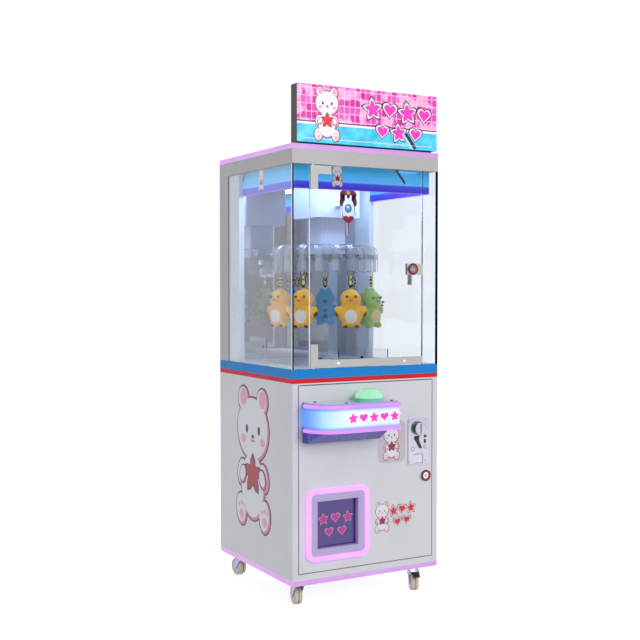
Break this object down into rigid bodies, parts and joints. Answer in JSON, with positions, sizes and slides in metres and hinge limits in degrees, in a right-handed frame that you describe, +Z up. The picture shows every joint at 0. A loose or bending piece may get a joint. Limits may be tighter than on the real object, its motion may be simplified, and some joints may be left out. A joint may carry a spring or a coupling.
{
  "type": "claw crane machine",
  "caption": "Keychain claw machine on casters: glazed chamber with a carousel of spring claws, lit console button, coin unit, prize flap and roof sign.",
  "frame": {"origin": "on the floor, under the middle of the footprint with the console counted in", "axes": "+X to the right seen from the front, -Y towards the front, +Z up"},
  "size_m": [0.46, 0.557, 1.3826],
  "materials": {
    "cabinet_paint": "satin powder coat",
    "pink_light": "lit diffuser",
    "pale_alloy": "satin anodised and painted",
    "grey_alloy": "satin anodised",
    "belt_blue": "gloss print, blue over red",
    "steel": "satin",
    "grey_paint": "satin powder coat",
    "clear_glass": "clear",
    "mirror": "polished",
    "pelmet_print": "printed film",
    "black_paint": "satin",
    "sign_print": "printed, lit from behind",
    "deck_white": "white board",
    "clear_acrylic": "clear acrylic",
    "chrome": "polished",
    "pointer_print": "printed acrylic",
    "plush_yellow": "short plush",
    "plush_white": "short plush",
    "console_violet": "moulded",
    "console_light": "lit diffuser",
    "button_green": "lit dome",
    "black_plastic": "satin",
    "flap_violet": "tinted",
    "wheel_cream": "soft tread"
  },
  "bodies": {
    "cabinet": {"belt_band": "belt_blue", "cabinet_shell": "cabinet_paint", "caster_plates": "steel", "deck": "deck_white", "deck_guard": "clear_acrylic", "drive_units": "steel", "fascia": "pale_alloy", "fixed_glass": "clear_glass", "light_strips": "pink_light", "mirror": "mirror", "motor_housing": "cabinet_paint", "pelmet": "pelmet_print", "pivot_pins": "steel", "pointer": "pointer_print", "post_panels": "cabinet_paint", "prize_duct": "grey_paint", "rear_frame": "grey_alloy", "sign_box": "black_paint", "sign_face": "sign_print"},
    "service_door": {"door_panel": "cabinet_paint", "door_brackets": "steel", "console_shell": "console_violet", "console_face": "console_light", "console_tubes": "pink_light", "console_top": "clear_acrylic", "button_housing": "clear_acrylic", "coin_plate": "steel", "coin_unit": "black_plastic", "prize_ring": "pink_light", "prize_bezel": "grey_paint", "door_lock_barrel": "chrome"},
    "button": {"button_dome": "button_green"},
    "coin_return_lever": {"coin_lever": "black_plastic"},
    "coin_return_flap": {"coin_flap": "steel"},
    "cash_box": {"cash_box": "grey_paint"},
    "prize_flap": {"prize_flap": "flap_violet"},
    "door_lock_plug": {"door_lock_cam": "steel"},
    "glass_door": {"glass_pane": "clear_glass", "glass_fittings": "steel", "glass_lock_barrel": "chrome"},
    "glass_lock_plug": {"glass_lock_cam": "steel"},
    "carousel": {"carousel_disc": "clear_acrylic", "claw_bodies": "clear_acrylic", "claw_jaws": "clear_acrylic", "claw_pins": "steel", "key_rings": "chrome", "toy_chicks": "plush_yellow", "toy_bears": "plush_white"},
    "front_claw_jaw": {"front_jaw": "clear_acrylic"},
    "striker": {"striker_rod": "chrome"},
    "caster_swivel_fl": {"caster_fork_fl": "steel"},
    "caster_roller_fl": {"caster_wheel_fl": "wheel_cream"},
    "caster_swivel_fr": {"caster_fork_fr": "steel"},
    "caster_roller_fr": {"caster_wheel_fr": "wheel_cream"},
    "caster_swivel_bl": {"caster_fork_bl": "steel"},
    "caster_roller_bl": {"caster_wheel_bl": "wheel_cream"},
    "caster_swivel_br": {"caster_fork_br": "steel"},
    "caster_roller_br": {"caster_wheel_br": "wheel_cream"},
    "caster_brake_fl": {"brake_pedal_fl": "black_plastic"},
    "caster_brake_fr": {"brake_pedal_fr": "black_plastic"}
  },
  "joints": [
    {"name": "service_door_hinge", "type": "hinge", "parent": "cabinet", "child": "service_door", "pos_m": [-0.208, -0.1775, 0.35], "axis": [0, 0, -1], "range_deg": [0, 85]},
    {"name": "glass_door_hinge", "type": "hinge", "parent": "cabinet", "child": "glass_door", "pos_m": [-0.168, -0.1785, 0.9085], "axis": [0, 0, -1], "range_deg": [0, 100]},
    {"name": "carousel_spin", "type": "hinge", "parent": "cabinet", "child": "carousel", "pos_m": [0, 0.0485, 0.94], "axis": [0, 0, 1], "continuous": true},
    {"name": "front_jaw_swing", "type": "hinge", "parent": "carousel", "child": "front_claw_jaw", "pos_m": [0, -0.0835, 0.94], "axis": [1, 0, 0], "range_deg": [0, 20]},
    {"name": "striker_slide", "type": "slide", "parent": "cabinet", "child": "striker", "axis": [0, -1, 0], "range_m": [0, 0.008], "stiffness_N_per_m": 200, "springref_m": -0.002},
    {"name": "button_press", "type": "slide", "parent": "service_door", "child": "button", "axis": [0, 0, -1], "range_m": [0, 0.004], "stiffness_N_per_m": 500, "springref_m": -0.003},
    {"name": "coin_lever_turn", "type": "hinge", "parent": "service_door", "child": "coin_return_lever", "pos_m": [0.1573, -0.1855, 0.43462], "axis": [0, 1, 0], "range_deg": [0, 20], "stiffness_Nm_per_rad": 0.05, "springref_deg": -11.46},
    {"name": "coin_flap_swing", "type": "hinge", "parent": "service_door", "child": "coin_return_flap", "pos_m": [0.164, -0.1835, 0.39], "axis": [1, 0, 0], "range_deg": [0, 50]},
    {"name": "prize_flap_swing", "type": "hinge", "parent": "service_door", "child": "prize_flap", "pos_m": [-0.095, -0.1705, 0.286], "axis": [1, 0, 0], "range_deg": [0, 70]},
    {"name": "door_lock_turn", "type": "hinge", "parent": "service_door", "child": "door_lock_plug", "pos_m": [0.1875, -0.1815, 0.33], "axis": [0, -1, 0], "range_deg": [0, 90]},
    {"name": "glass_lock_turn", "type": "hinge", "parent": "glass_door", "child": "glass_lock_plug", "pos_m": [0.141, -0.1815, 0.905], "axis": [0, -1, 0], "range_deg": [0, 90]},
    {"name": "cash_box_lift", "type": "slide", "parent": "service_door", "child": "cash_box", "axis": [0, 0, 1], "range_m": [0, 0.025]},
    {"name": "swivel_fl", "type": "hinge", "parent": "cabinet", "child": "caster_swivel_fl", "pos_m": [-0.182, -0.1265, 0.06], "axis": [0, 0, 1], "continuous": true},
    {"name": "roll_fl", "type": "hinge", "parent": "caster_swivel_fl", "child": "caster_roller_fl", "pos_m": [-0.17818, -0.10483, 0.025], "axis": [-0.9848, 0.1736, 0], "continuous": true},
    {"name": "brake_fl", "type": "hinge", "parent": "caster_swivel_fl", "child": "caster_brake_fl", "pos_m": [-0.17549, -0.08957, 0.0505], "axis": [-0.9848, 0.1736, 0], "range_deg": [0, 14]},
    {"name": "swivel_fr", "type": "hinge", "parent": "cabinet", "child": "caster_swivel_fr", "pos_m": [0.182, -0.1265, 0.06], "axis": [0, 0, 1], "continuous": true},
    {"name": "roll_fr", "type": "hinge", "parent": "caster_swivel_fr", "child": "caster_roller_fr", "pos_m": [0.17448, -0.14717, 0.025], "axis": [0.9397, -0.342, 0], "continuous": true},
    {"name": "brake_fr", "type": "hinge", "parent": "caster_swivel_fr", "child": "caster_brake_fr", "pos_m": [0.16917, -0.16174, 0.0505], "axis": [0.9397, -0.342, 0], "range_deg": [0, 14]},
    {"name": "swivel_bl", "type": "hinge", "parent": "cabinet", "child": "caster_swivel_bl", "pos_m": [-0.182, 0.2235, 0.06], "axis": [0, 0, 1], "continuous": true},
    {"name": "roll_bl", "type": "hinge", "parent": "caster_swivel_bl", "child": "caster_roller_bl", "pos_m": [-0.18582, 0.24517, 0.025], "axis": [-0.9848, -0.1736, 0], "continuous": true},
    {"name": "swivel_br", "type": "hinge", "parent": "cabinet", "child": "caster_swivel_br", "pos_m": [0.182, 0.2235, 0.06], "axis": [0, 0, 1], "continuous": true},
    {"name": "roll_br", "type": "hinge", "parent": "caster_swivel_br", "child": "caster_roller_br", "pos_m": [0.193, 0.24255, 0.025], "axis": [-0.866, 0.5, 0], "continuous": true}
  ],
  "couplings": [
    {"joint": "front_jaw_swing", "follows": "striker_slide", "rad_per_m": 43.6}
  ]
}
